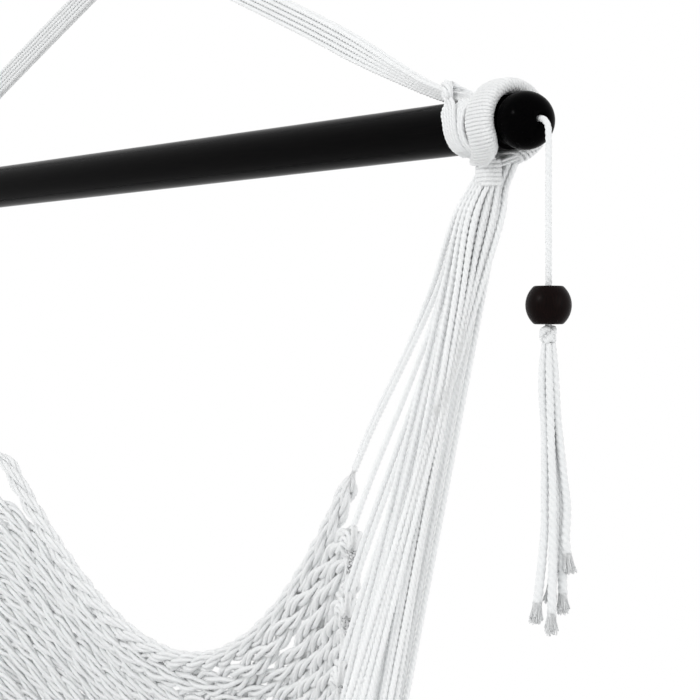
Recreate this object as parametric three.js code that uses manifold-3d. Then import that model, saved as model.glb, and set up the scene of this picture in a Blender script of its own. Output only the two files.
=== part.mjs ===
// Hammock chair: a woven cord seat hung by two fans of cord from a turned wooden bar,
// and the bar hung by two bundles of cord from a steel ring.
// Millimetres. +X runs along the bar, -Y is the front of the chair, +Z is up.
// The origin is the point inside the top of the ring where a hook bears.

import * as THREE from 'three';
import { mergeVertices } from 'three/addons/utils/BufferGeometryUtils.js';
import Module from 'manifold-3d';

const wasm = await Module();
wasm.setup();

// Driving dimensions

const seatGap = 0.3;        // between pieces that touch
const whippingCord = 2.2;   // thickness of the cord wound round the eyes
const whippingGap = 0.55;   // between a winding and what it is wound on
const turnGap = 1.2;        // between two turns of a winding
const cordWidth = 7.8;      // a doubled cord of the seat, its two strands side by side
const cordDepth = 3.9;      // one strand

const ring = {
  wireDiameter: 8,
  innerDiameter: 50,
};

const bar = {
  length: 1016,
  diameter: 32,
  ballDiameter: 34.2,
  neckDiameter: 28.6,
  neckWidth: 7,
  holeDiameter: 6,
  holeDepth: 28,
  holeRounding: 1.4,
  belowHook: 265,
};

// The upper eye, through the ring
const topEye = {
  coreWidth: 9,
  throatWidth: 9,
  coreDepth: 5,
  innerWidth: 24,
  height: 34,
  throatLength: 13,
  throatSlack: 0.8,
  edgeSlack: 0,
  taperLength: 20,
  loops: 9,
  throatLoops: 4,
};

// A suspension bundle, from the upper throat to its hitch on the bar
const bundle = {
  cords: 5,
  width: 17,
  depth: 7,
  throatWidth: 8,
  turnDrop: 7,
  spreadLength: 70,
  slopeDrop: 0.3435,
  landingWidth: 7,
  landingDepth: 10,
  landingLength: 30,
  taperLength: 130,
};

// The hitch that ties a bundle to the bar
const hitch = {
  inset: 69,
  width: 15,
  thickness: 4.2,
  bightReach: 30,
  bightDiameter: 7.5,
  bightRise: 10.5,
};

// A seat eye, round the bar
const seatEye = {
  inset: 40.4,
  coreWidth: 18,
  throatWidth: 10,
  coreDepth: 4.6,
  twist: 0.16,
  throatShift: 16,
  shiftStart: 10,
  throatDrop: 25,
  throatLength: 14,
  throatSlack: 0.8,
  edgeSlack: 0.6,
  taperLength: 22,
  loops: 16,
  throatLoops: 5,
};

// The fan of doubled cords from a seat eye to the side of the seat
const fan = {
  columns: 4,
  rows: 4,
  pitch: 4.7,
  neckLength: 12,
  neckShift: 6.5,
  neckForward: 3.5,
  swellLength: 200,
  pressedShare: 0.52,
};

// Points of the seat's right side, from the top of the back to the front lip: x, y and drop below the bar
const seatSide = [
  [283.5, 12, 203],
  [292, 4, 245],
  [299, -4, 290],
  [319, -35, 487],
  [322, -55, 690],
  [318, -72, 775],
  [312, -108, 768],
  [307, -135, 700],
];

// Points down the middle of the seat, from the top of the back to the front lip: y and drop below the bar
const seatMiddle = [
  [36, 357],
  [66, 430],
  [103, 560],
  [109, 700],
  [82, 830],
  [20, 915],
  [-68, 925],
  [-150, 870],
  [-196, 790],
];

const net = {
  thickness: 9,
  columns: 16,
  firstTipSpacing: 42,
  tuftLength: 24,
  foldDepth: 5,
};

const edgeRope = {
  diameter: 10,
  endInset: 9,
  standOff: 0.8,
};

const tassel = {
  cordDiameter: 4,
  bendRadius: 8,
  reach: 6,
  beadWidth: 26.4,
  beadHeight: 21.8,
  beadFlat: 16.4,
  beadBore: 5.4,
  beadDrop: 95.6,
  knotDiameter: 9.8,
  knotHeight: 11,
  strandDiameter: 4.4,
  gatheredDiameter: 2.9,
  swellLength: 12,
};

// A tassel strand's route: outward, along and down from where it leaves the knot
const strandRoutes = [
  [[2.6, 0, 0], [4.0, 0.5, 26], [5.2, 2.6, 70], [4.6, 6.4, 104], [4.2, 9.2, 127]],
  [[0.8, 2.5, 0], [1.2, 4.6, 28], [0.6, 6.8, 74], [-1.4, 7.6, 116], [-3.2, 8.4, 150]],
  [[-2.1, 1.5, 0], [-4.0, 2.4, 26], [-5.4, 1.6, 70], [-5.2, 0.2, 108], [-5.8, 1.4, 144]],
  [[-2.1, -1.5, 0], [-3.0, -3.9, 28], [-2.6, -4.6, 72], [-4.2, -4.4, 112], [-6.6, -6.4, 155]],
  [[0.8, -2.5, 0], [1.6, -4.4, 26], [1.8, -3.6, 70], [0.8, -4.8, 116], [1.2, -3.6, 161]],
];

// Shares and counts

const valleyShare = 0.72;
const turnShares = [0.12, 0.42];
const notchShare = 0.7;
const flareShare = 1.42;
const bightShares = [[0, 1, 0.02], [0.14, 0.93, 0.4], [0.38, 0.66, 0.74], [0.72, 0.32, 0.96], [1, 0, 1]];
const knotShares = [[0.72, 0], [1, 0.24], [0.86, 0.48], [0.98, 0.72], [0.7, 1]];
const stepsPerLoop = 10;
const windingSides = 5;
const cordSides = 8;
const ringSides = 10;
const neckSides = 12;
const bandSegments = 18;
const barSegments = 28;
const ringSegments = 30;
const ballSteps = 7;
const eyeArcSteps = 6;
const eyeSteps = 26;
const fanSteps = 2;
const bundleSteps = 12;
const bightSteps = 12;

// Places worked out from the sizes above

const barZ = -bar.belowHook;
const barRadius = bar.diameter / 2;
const barEnd = bar.length / 2;
const ringRadius = (ring.innerDiameter + ring.wireDiameter) / 2;
const wound = whippingCord + whippingGap;
const fanCords = fan.columns * fan.rows;
const alongX = new THREE.Vector3(1, 0, 0);
const alongY = new THREE.Vector3(0, 1, 0);

const steel = new THREE.MeshStandardMaterial({ color: 0xb9bcc0, roughness: 0.3, metalness: 1 });
const blackWood = new THREE.MeshStandardMaterial({ color: 0x0c0a0a, roughness: 0.22, metalness: 0 });
const beadWood = new THREE.MeshStandardMaterial({ color: 0x1d0f0e, roughness: 0.4, metalness: 0 });
const whiteCord = new THREE.MeshStandardMaterial({ color: 0xf1f3f3, roughness: 0.85, metalness: 0 });

const chair = new THREE.Group();

// Building blocks

function add(name, geometry, material) {
  geometry.computeVertexNormals();
  const mesh = new THREE.Mesh(geometry, material);
  mesh.name = name;
  chair.add(mesh);
  return mesh;
}

function point(x, y, z) {
  return new THREE.Vector3(x, y, z);
}

function smooth(points) {
  return new THREE.CatmullRomCurve3(points, false, 'centripetal');
}

function mix(a, b, share) {
  return a + (b - a) * Math.min(Math.max(share, 0), 1);
}

// Turns every face over when the faces point in.
function facingOut(geometry) {
  const places = geometry.attributes.position;
  const index = geometry.index.array;
  const [a, b, c] = [point(0, 0, 0), point(0, 0, 0), point(0, 0, 0)];
  let volume = 0;
  for (let i = 0; i < index.length; i += 3) {
    a.fromBufferAttribute(places, index[i]);
    b.fromBufferAttribute(places, index[i + 1]);
    c.fromBufferAttribute(places, index[i + 2]);
    volume += a.dot(b.cross(c));
  }
  if (volume < 0) {
    for (let i = 0; i < index.length; i += 3) {
      [index[i + 1], index[i + 2]] = [index[i + 2], index[i + 1]];
    }
  }
  return geometry;
}

function indexed(places, index) {
  const geometry = new THREE.BufferGeometry();
  geometry.setAttribute('position', new THREE.Float32BufferAttribute(places, 3));
  geometry.setIndex(index);
  return facingOut(geometry);
}

// A closed body from rings of points: faces between the rings and a fan over each end.
function loft(rings) {
  const sides = rings[0].length;
  const places = rings.flat().flatMap((p) => [p.x, p.y, p.z]);
  const index = [];
  const next = (s) => (s + 1) % sides;
  for (let r = 0; r + 1 < rings.length; r++) {
    for (let s = 0; s < sides; s++) {
      const a = r * sides + s;
      const b = r * sides + next(s);
      index.push(a, b, b + sides, a, b + sides, a + sides);
    }
  }
  for (const r of [0, rings.length - 1]) {
    const centre = places.length / 3;
    const middle = rings[r].reduce((sum, p) => sum.add(p), point(0, 0, 0)).divideScalar(sides);
    places.push(middle.x, middle.y, middle.z);
    for (let s = 0; s < sides; s++) {
      const a = r * sides + s;
      const b = r * sides + next(s);
      index.push(...(r === 0 ? [centre, b, a] : [centre, a, b]));
    }
  }
  return indexed(places, index);
}

// The ring of a section at a place: its first axis is square to the reference and the tangent.
function sectionRing(section, centre, tangent, reference) {
  const u = new THREE.Vector3().crossVectors(reference, tangent).normalize();
  const v = new THREE.Vector3().crossVectors(tangent, u).normalize();
  return section.map(([a, b]) => centre.clone().addScaledVector(u, a).addScaledVector(v, b));
}

function carry(curve, steps, sectionAt, reference) {
  const rings = [];
  for (let i = 0; i <= steps; i++) {
    const t = i / steps;
    rings.push(sectionRing(sectionAt(t), curve.getPointAt(t), curve.getTangentAt(t), reference));
  }
  return loft(rings);
}

function roundSection(width, depth, sides) {
  const points = [];
  for (let i = 0; i < sides; i++) {
    const angle = (i + 0.5) / sides * 2 * Math.PI;
    points.push([width / 2 * Math.cos(angle), depth / 2 * Math.sin(angle)]);
  }
  return points;
}

// A section of cords lying side by side: a crest on each cord and a valley between two.
function cordRow(width, depth, cords) {
  const upper = [];
  for (let i = 1; i < 2 * cords; i++) {
    upper.push([-width / 2 + i * width / (2 * cords), depth * (i % 2 ? 1 : valleyShare) / 2]);
  }
  const lower = upper.map(([u, v]) => [u, -v]).reverse();
  return [[-width / 2, 0], ...upper, [width / 2, 0], ...lower];
}

function roundCord(curve, diameter, sides, steps) {
  const outline = roundSection(diameter, diameter, sides).map(([u, v]) => new THREE.Vector2(u, v));
  const shape = new THREE.Shape(outline);
  return new THREE.ExtrudeGeometry(shape, { steps, bevelEnabled: false, extrudePath: curve });
}

// A body turned about the Y axis from pairs of radius and height.
function turned(profile, segments) {
  const outline = profile.map(([radius, height]) => new THREE.Vector2(radius, height));
  return facingOut(new THREE.LatheGeometry(outline, segments));
}

// Pairs along an arc about [centreR, centreH], angles measured from the radius axis.
function arc(centreR, centreH, radius, from, to, steps) {
  const pairs = [];
  for (let i = 0; i <= steps; i++) {
    const angle = from + (to - from) * i / steps;
    pairs.push([centreR + radius * Math.cos(angle), centreH + radius * Math.sin(angle)]);
  }
  return pairs;
}

function toSolid(geometry) {
  const plain = geometry.clone();
  plain.deleteAttribute('normal');
  plain.deleteAttribute('uv');
  const merged = mergeVertices(plain);
  return new wasm.Manifold(new wasm.Mesh({
    numProp: 3,
    vertProperties: new Float32Array(merged.attributes.position.array),
    triVerts: new Uint32Array(merged.index.array),
  }));
}

function joined(geometries) {
  const whole = geometries.map(toSolid).reduce((solid, next) => solid.add(next));
  const mesh = whole.getMesh();
  return indexed(Array.from(mesh.vertProperties), Array.from(mesh.triVerts));
}

// Eyes: a loop of the skein over its support, its two legs drawn together into a throat

// The loop in the YZ plane: an arc about the support, then straight legs to the throat and down it.
function eyeCurve(eye) {
  const reach = Math.hypot(eye.throatY, eye.throatTop - eye.centreZ);
  const arcEnd = Math.PI - Math.acos(eye.radius / reach) - Math.asin(eye.throatY / reach);
  const side = [];
  for (let i = 0; i <= eyeArcSteps; i++) {
    const angle = arcEnd * i / eyeArcSteps;
    side.push([eye.radius * Math.sin(angle), eye.centreZ + eye.radius * Math.cos(angle)]);
  }
  const [lastY, lastZ] = side[eyeArcSteps];
  side.push([(lastY + eye.throatY) / 2, (lastZ + eye.throatTop) / 2]);
  side.push([eye.throatY, eye.throatTop]);
  side.push([eye.throatY, (eye.throatTop + eye.throatBottom) / 2]);
  side.push([eye.throatY, eye.throatBottom]);
  const front = side.map(([y, z]) => point(eye.xAt(-y, z), -y, z)).reverse();
  const back = side.slice(1).map(([y, z]) => point(eye.xAt(y, z), y, z));
  return smooth([...front, ...back]);
}

// The curve's direction seen along X: an eye's sections then stay level where its path shifts along the bar.
function levelTangent(curve, t) {
  return curve.getTangentAt(t).setX(0).normalize();
}

// The share of the curve's length at which its legs are far enough apart to be wound singly.
function windingStart(curve, halfGap) {
  const samples = 400;
  for (let i = 0; i < samples; i++) {
    if (Math.abs(curve.getPointAt(i / samples).y) > halfGap) {
      return i / samples;
    }
  }
  return 0;
}

// The least distance between points of a winding that lie half a turn or more apart.
function leastGap(rings) {
  let least = Infinity;
  for (let i = 0; i < rings.length; i++) {
    for (let j = i + stepsPerLoop / 2; j < rings.length; j++) {
      for (const p of rings[i]) {
        for (const q of rings[j]) {
          least = Math.min(least, p.distanceTo(q));
        }
      }
    }
  }
  return least;
}

// One unbroken cord wound round a path, its section lying flat on what it is wound on.
// halfDepth is measured square to X and halfWidthAt, which may change on the way, along it.
function winding(name, curve, loops, halfDepth, halfWidthAt, start, end) {
  const steps = loops * stepsPerLoop;
  const centres = [];
  const outward = [];
  for (let i = 0; i <= steps; i++) {
    const t = start + (end - start) * i / steps;
    const angle = i / stepsPerLoop * 2 * Math.PI;
    const tangent = levelTangent(curve, t);
    const u = new THREE.Vector3().crossVectors(alongX, tangent).normalize();
    const v = new THREE.Vector3().crossVectors(tangent, u).normalize();
    const [cos, sin] = [Math.cos(angle), Math.sin(angle)];
    const halfWidth = halfWidthAt(t);
    centres.push(curve.getPointAt(t).addScaledVector(u, cos * halfDepth).addScaledVector(v, sin * halfWidth));
    outward.push(u.multiplyScalar(cos / halfDepth).addScaledVector(v, sin / halfWidth).normalize());
  }
  const innerShare = 1 - halfDepth / leastBend(curve, start, end);
  const pitch = curve.getLength() * (end - start) / loops;
  const section = roundSection(pitch * innerShare - turnGap, whippingCord, windingSides);
  const rings = centres.map((centre, i) => {
    const tangent = centres[Math.min(i + 1, steps)].clone().sub(centres[Math.max(i - 1, 0)]).normalize();
    return sectionRing(section, centre, tangent, outward[i]);
  });
  console.log(name + ': least gap to itself ' + leastGap(rings).toFixed(2) + ' mm');
  add(name, loft(rings), whiteCord);
}

// The radius of the tightest bend that a winding goes round.
function leastBend(curve, start, end) {
  const samples = 40;
  let least = Infinity;
  for (let i = 1; i < samples; i++) {
    const here = start + (end - start) * i / samples;
    const step = (end - start) / samples;
    const turn = curve.getTangentAt(here - step / 2).angleTo(curve.getTangentAt(here + step / 2));
    least = Math.min(least, curve.getLength() * step / Math.max(turn, Number.EPSILON));
  }
  return least;
}

function wholeEye(prefix, suffix, eye, sizes) {
  const curve = eyeCurve(eye);
  const length = curve.getLength();
  const around = whippingGap + whippingCord / 2;
  const widthAt = (t) => {
    const toThroat = Math.min(t, 1 - t) * length - sizes.throatLength;
    return mix(sizes.throatWidth, sizes.coreWidth, toThroat / sizes.taperLength);
  };
  const coreRings = [];
  for (let i = 0; i <= eyeSteps; i++) {
    const t = i / eyeSteps;
    const section = roundSection(sizes.coreDepth, widthAt(t), cordSides);
    coreRings.push(sectionRing(section, curve.getPointAt(t), levelTangent(curve, t), alongX));
  }
  add(prefix + '_core' + suffix, loft(coreRings), whiteCord);
  const halfDepth = sizes.coreDepth / 2 + around;
  const halfWidthAt = (t) => widthAt(t) / 2 + around + sizes.edgeSlack;
  const start = windingStart(curve, halfDepth + whippingCord / 2 + seatGap);
  winding(prefix + '_whipping' + suffix, curve, sizes.loops, halfDepth, halfWidthAt, start, 1 - start);
  const throatX = eye.xAt(0, eye.throatBottom);
  const throat = new THREE.LineCurve3(
    point(throatX, 0, eye.throatTop - whippingCord),
    point(throatX, 0, eye.throatBottom + whippingCord / 2),
  );
  const bindingDepth = halfDepth + eye.throatY + sizes.throatSlack;
  const bindingWidthAt = () => sizes.throatWidth / 2 + around + sizes.throatSlack;
  winding(prefix + '_throat_binding' + suffix, throat, sizes.throatLoops, bindingDepth, bindingWidthAt, 0, 1);
}

// Hanging ring

function hangingRing() {
  const wire = roundSection(ring.wireDiameter, ring.wireDiameter, ringSides);
  const profile = wire.map(([u, v]) => [ringRadius + u, v]);
  const mesh = add('hanging_ring', turned([...profile, profile[0]], ringSegments), steel);
  mesh.position.z = -ring.innerDiameter / 2;
}

hangingRing();

// Upper eye

const topEyeRadius = topEye.innerWidth / 2 + wound + topEye.coreDepth / 2;
const topEyeCrest = -ring.innerDiameter + seatGap + wound + topEye.coreDepth / 2;
const topThroatTop = -ring.innerDiameter - topEye.height;
const topThroatBottom = topThroatTop - topEye.throatLength;

wholeEye('top_eye', '', {
  radius: topEyeRadius,
  centreZ: topEyeCrest - topEyeRadius,
  throatY: (topEye.coreDepth + seatGap) / 2,
  throatTop: topThroatTop,
  throatBottom: topThroatBottom,
  xAt: () => 0,
}, topEye);

// Bar, with a ball turned on each end and a blind hole for the tassel cord

function spreaderBar() {
  const ballRadius = bar.ballDiameter / 2;
  const holeRadius = bar.holeDiameter / 2;
  const neckRadius = bar.neckDiameter / 2;
  const ballCentre = barEnd - ballRadius;
  const mouthRadius = holeRadius + bar.holeRounding;
  const neckAngle = -Math.acos(neckRadius / ballRadius);
  const mouthAngle = Math.acos(mouthRadius / ballRadius);
  const neckStart = ballCentre + ballRadius * Math.sin(neckAngle);
  const neckEnd = neckStart - bar.neckWidth;
  const mouth = ballCentre + ballRadius * Math.sin(mouthAngle);
  const end = [
    [0, barEnd - bar.holeDepth],
    [holeRadius, barEnd - bar.holeDepth],
    [holeRadius, mouth - bar.holeRounding],
    ...arc(0, ballCentre, ballRadius, mouthAngle, neckAngle, ballSteps),
    [neckRadius, neckEnd + (barRadius - neckRadius)],
    [barRadius, neckEnd],
  ];
  const other = end.map(([radius, height]) => [radius, -height]).reverse();
  const mesh = add('spreader_bar', turned([...end, ...other], barSegments), blackWood);
  mesh.rotation.z = -Math.PI / 2;
  mesh.position.z = barZ;
}

spreaderBar();

// Suspension: a flat bundle of cords from the upper throat, tied to the bar by a hitch

function suspension(side, suffix) {
  const hitchX = barEnd - hitch.inset;
  const startX = (bundle.throatWidth + seatGap) / 2;
  const startZ = topThroatBottom - seatGap;
  const landingX = hitchX - bundle.landingLength;
  const landedZ = barZ + barRadius + seatGap + bundle.landingWidth / 2;
  const lineZ = (x) => startZ - bundle.turnDrop - bundle.slopeDrop * (x - 2 * startX);
  const turnX = startX + bundle.turnDrop;
  const points = [
    [startX, startZ],
    [startX + bundle.turnDrop * turnShares[0], startZ - bundle.turnDrop * turnShares[1]],
    [turnX, lineZ(turnX)],
    [bundle.spreadLength, lineZ(bundle.spreadLength)],
    [(bundle.spreadLength + landingX) / 2, lineZ((bundle.spreadLength + landingX) / 2)],
    [landingX, Math.max(lineZ(landingX), landedZ)],
    [(landingX + hitchX) / 2, landedZ],
    [hitchX, landedZ],
  ];
  const curve = smooth(points.map(([x, z]) => point(side * x, 0, z)));
  const length = curve.getLength();
  const sectionAt = (t) => {
    const spread = t * length / bundle.spreadLength;
    const toHitch = (1 - t) * length - bundle.landingLength;
    const landed = 1 - toHitch / bundle.taperLength;
    const width = mix(mix(bundle.throatWidth, bundle.width, spread), bundle.landingWidth, landed);
    return cordRow(width, mix(bundle.depth, bundle.landingDepth, landed), bundle.cords);
  };
  const cords = carry(curve, bundleSteps, sectionAt, alongY);

  const inner = barRadius + seatGap;
  const outer = inner + hitch.thickness;
  const valley = inner + hitch.thickness * valleyShare;
  const half = hitch.width / 2;
  const turns = [
    [inner, -half], [valley, -half], [outer, -half * valleyShare], [outer, -half / 3], [valley, 0],
    [outer, half / 3], [outer, half * valleyShare], [valley, half], [inner, half], [inner, -half],
  ];
  const band = turned(turns, bandSegments);
  band.rotateZ(-Math.PI / 2);
  band.translate(side * hitchX, 0, barZ);

  const bightRadius = inner + hitch.bightDiameter / 2;
  const backHalf = bightShares.map(([x, y, z]) => point(
    side * (hitchX - x * hitch.bightReach),
    y * bightRadius,
    barZ + z * (barRadius + hitch.bightRise),
  ));
  const frontHalf = backHalf.slice(0, -1).map((p) => point(p.x, -p.y, p.z)).reverse();
  const bight = roundCord(smooth([...backHalf, ...frontHalf]), hitch.bightDiameter, cordSides, bightSteps);
  add('suspension' + suffix, joined([band, cords, bight]), whiteCord);
}

// Seat eyes

function seatEyeAt(side, suffix) {
  const eyeX = barEnd - seatEye.inset;
  const radius = barRadius + seatGap + wound + seatEye.coreDepth / 2;
  const throatTop = barZ - seatEye.throatDrop;
  const xAt = (y, z) => {
    const drawn = THREE.MathUtils.smoothstep(barZ - z, seatEye.shiftStart, seatEye.throatDrop);
    return side * (eyeX - mix(seatEye.twist * y, seatEye.throatShift, drawn));
  };
  wholeEye('seat_eye', suffix, {
    radius,
    centreZ: barZ,
    throatY: (seatEye.coreDepth + seatGap) / 2,
    throatTop,
    throatBottom: throatTop - seatEye.throatLength,
    xAt,
  }, seatEye);
}

// Seat surface: u runs from -1 on the left side to 1 on the right, v from the back's top to the front lip

const sideCurve = smooth(seatSide.map(([x, y, drop]) => point(x, y, barZ - drop)));
const middleCurve = smooth(seatMiddle.map(([y, drop]) => point(0, y, barZ - drop)));

function seatPoint(u, v) {
  const edge = sideCurve.getPointAt(v);
  const middle = middleCurve.getPointAt(v);
  const share = u * u;
  return point(u * edge.x, mix(middle.y, edge.y, share), mix(middle.z, edge.z, share));
}

function seatNormal(u, v) {
  const nudge = 1e-3;
  const low = Math.max(v - nudge, 0);
  const high = Math.min(v + nudge, 1);
  const across = seatPoint(u + nudge, v).sub(seatPoint(u - nudge, v));
  const down = seatPoint(u, high).sub(seatPoint(u, low));
  return new THREE.Vector3().crossVectors(across, down).normalize();
}

// Where the tufts' tips lie on the side, as shares of its length: each step is a little longer than the last.
function tipShares() {
  const length = sideCurve.getLength();
  const steps = fanCords - 1;
  const growth = (length - net.firstTipSpacing * steps) / (steps * (steps - 1) / 2);
  const shares = [];
  for (let i = 0; i <= steps; i++) {
    shares.push(Math.min((net.firstTipSpacing * i + growth * i * (i - 1) / 2) / length, 1));
  }
  return shares;
}

const tips = tipShares();

// Fans of cord

function fanOfCords(side, suffix) {
  const neckX = barEnd - seatEye.inset - seatEye.throatShift;
  const neckTop = barZ - seatEye.throatDrop - seatEye.throatLength - seatGap;
  const neckBottom = neckTop - fan.neckLength;
  const legs = roundSection(seatEye.throatWidth, 2 * seatEye.coreDepth, neckSides);
  const [spreadX, spreadY] = [fan.columns * fan.pitch, fan.rows * fan.pitch];
  const flare = roundSection(spreadX * flareShare, spreadY * flareShare, neckSides);
  const ringAt = (section, drop) => {
    const share = drop / fan.neckLength;
    return section.map(([x, y]) => point(
      side * (neckX - fan.neckShift * share + x),
      y - fan.neckForward * share,
      neckTop - drop,
    ));
  };
  const flared = [fan.neckLength, fan.neckLength + cordDepth].map((drop) => ringAt(flare, drop));
  const solids = [loft([ringAt(legs, 0), ...flared])];
  tips.forEach((share, i) => {
    const column = Math.floor(i / fan.rows);
    const row = i % fan.rows;
    const start = point(
      side * (neckX - fan.neckShift + (column - (fan.columns - 1) / 2) * fan.pitch),
      (row - (fan.rows - 1) / 2) * fan.pitch - fan.neckForward,
      neckBottom,
    );
    const tip = seatPoint(side, share);
    const line = tip.clone().sub(start);
    const length = line.length() - cordDepth / 2;
    const end = start.clone().addScaledVector(line.normalize(), length);
    const sectionAt = (t) => {
      const share = mix(fan.pressedShare, 1, t * length / fan.swellLength);
      return cordRow(cordWidth * share, cordDepth * mix(1, share, fan.pressedShare), 2);
    };
    solids.push(carry(new THREE.LineCurve3(start, end), fanSteps, sectionAt, alongY));
  });
  add('fan_cords' + suffix, joined(solids), whiteCord);
}

// Woven seat: a hanging sheet whose sides end in tufts, one for each doubled cord

function wovenSeat() {
  const rows = [];
  tips.forEach((share, i) => {
    rows.push({ share, tip: true });
    if (i + 1 < tips.length) {
      rows.push({ share: mix(share, tips[i + 1], notchShare), tip: false });
    }
  });
  const sheets = [1, -1].map((face) => rows.map((row) => {
    const points = [];
    for (let j = 0; j <= net.columns; j++) {
      const even = -1 + 2 * j / net.columns;
      const inset = row.tip ? 0 : net.tuftLength / sideCurve.getPointAt(row.share).x;
      const u = THREE.MathUtils.clamp(even, -1 + inset, 1 - inset);
      const fold = net.foldDepth / 2 * (row.tip ? 1 : -1) * even * even;
      const offset = face * net.thickness / 2 + fold;
      points.push(seatPoint(u, row.share).addScaledVector(seatNormal(u, row.share), offset));
    }
    return points;
  }));
  const width = net.columns + 1;
  const places = sheets.flat(2).flatMap((p) => [p.x, p.y, p.z]);
  const at = (sheet, i, j) => sheet * rows.length * width + i * width + j;
  const index = [];
  const face = (a, b, c, d) => index.push(a, b, c, a, c, d);
  for (let i = 0; i + 1 < rows.length; i++) {
    for (let j = 0; j < net.columns; j++) {
      face(at(0, i, j), at(0, i, j + 1), at(0, i + 1, j + 1), at(0, i + 1, j));
      face(at(1, i, j), at(1, i + 1, j), at(1, i + 1, j + 1), at(1, i, j + 1));
    }
    face(at(0, i + 1, 0), at(1, i + 1, 0), at(1, i, 0), at(0, i, 0));
    face(at(0, i, net.columns), at(1, i, net.columns), at(1, i + 1, net.columns), at(0, i + 1, net.columns));
  }
  const last = rows.length - 1;
  for (let j = 0; j < net.columns; j++) {
    face(at(0, 0, j), at(1, 0, j), at(1, 0, j + 1), at(0, 0, j + 1));
    face(at(0, last, j + 1), at(1, last, j + 1), at(1, last, j), at(0, last, j));
  }
  add('woven_seat', indexed(places, index), whiteCord);
}

// Edge ropes, along the top of the back and along the front lip

function edgeRopeAlong(name, v) {
  const nudge = 1e-2;
  const inward = v === 0 ? nudge : 1 - nudge;
  const inset = edgeRope.endInset / seatPoint(1, v).x;
  const stand = edgeRope.diameter / 2 + edgeRope.standOff;
  const centres = [];
  for (let j = 0; j <= net.columns; j++) {
    const even = -1 + 2 * j / net.columns;
    const u = THREE.MathUtils.clamp(even, -1 + inset, 1 - inset);
    const away = seatPoint(u, v).sub(seatPoint(u, inward)).normalize();
    const across = seatPoint(u + nudge, v).sub(seatPoint(u - nudge, v)).normalize();
    away.addScaledVector(across, -away.dot(across)).normalize();
    const fold = net.foldDepth / 2 * even * even;
    centres.push(seatPoint(u, v).addScaledVector(away, stand).addScaledVector(seatNormal(u, v), fold));
  }
  const section = roundSection(edgeRope.diameter, edgeRope.diameter, cordSides);
  const rings = centres.map((centre, j) => {
    const before = centres[Math.max(j - 1, 0)];
    const after = centres[Math.min(j + 1, net.columns)];
    return sectionRing(section, centre, after.clone().sub(before).normalize(), alongY);
  });
  add(name, loft(rings), whiteCord);
}

// Tassels: a cord out of the bar's end, a bead, a knot and five frayed strands

function tasselAt(side, suffix) {
  const cordX = barEnd + tassel.reach;
  const bendStart = cordX - tassel.bendRadius;
  const beadTop = barZ - tassel.beadDrop;
  const beadBottom = beadTop - tassel.beadHeight;
  const knotTop = beadBottom - seatGap;
  const knotBottom = knotTop - tassel.knotHeight;
  const holeEnd = barEnd - bar.holeDepth + seatGap;
  const bend = arc(bendStart, barZ - tassel.bendRadius, tassel.bendRadius, Math.PI / 2, 0, 4);
  const route = [[holeEnd, barZ], [(holeEnd + bendStart) / 2, barZ], ...bend, [cordX, (barZ + beadTop) / 2],
    [cordX, beadTop], [cordX, beadBottom]];
  const curve = smooth(route.map(([x, z]) => point(side * x, 0, z)));
  add('tassel_cord' + suffix, roundCord(curve, tassel.cordDiameter, cordSides, 14), whiteCord);

  const flat = tassel.beadFlat / 2;
  const bore = tassel.beadBore / 2;
  const halfHeight = tassel.beadHeight / 2;
  const bulge = tassel.beadWidth / 2 - flat;
  const crown = (bulge * bulge + halfHeight * halfHeight) / (2 * bulge);
  const opening = Math.asin(halfHeight / crown);
  const barrel = arc(tassel.beadWidth / 2 - crown, 0, crown, -opening, opening, 8);
  const outline = [[bore, -halfHeight], ...barrel, [bore, halfHeight], [bore, -halfHeight]];
  placeTurned('bead' + suffix, outline, 18, side * cordX, beadTop - halfHeight, beadWood);

  const knotOutline = knotShares.map(([r, h]) => [r * tassel.knotDiameter / 2, -h * tassel.knotHeight]);
  placeTurned('tassel_knot' + suffix, [[0, 0], ...knotOutline, [0, -tassel.knotHeight]], 12,
    side * cordX, knotTop, whiteCord);

  strandRoutes.forEach((route, i) => {
    const top = knotBottom - seatGap;
    const points = route.map(([out, along, down]) => point(side * (cordX + out), along, top - down));
    const strand = smooth(points);
    const length = strand.getLength();
    const sectionAt = (t) => {
      const diameter = mix(tassel.gatheredDiameter, tassel.strandDiameter, t * length / tassel.swellLength);
      return roundSection(diameter, diameter, cordSides);
    };
    add('tassel_strand' + suffix + '_' + (i + 1), carry(strand, 6, sectionAt, alongX), whiteCord);
  });
}

function placeTurned(name, profile, segments, x, z, material) {
  const mesh = add(name, turned(profile, segments), material);
  mesh.rotation.x = Math.PI / 2;
  mesh.position.set(x, 0, z);
}

for (const [side, suffix] of [[1, '_right'], [-1, '_left']]) {
  suspension(side, suffix);
  seatEyeAt(side, suffix);
  fanOfCords(side, suffix);
  tasselAt(side, suffix);
}
wovenSeat();
edgeRopeAlong('back_edge_rope', 0);
edgeRopeAlong('front_edge_rope', 1);

export default chair;
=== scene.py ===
import math

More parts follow.
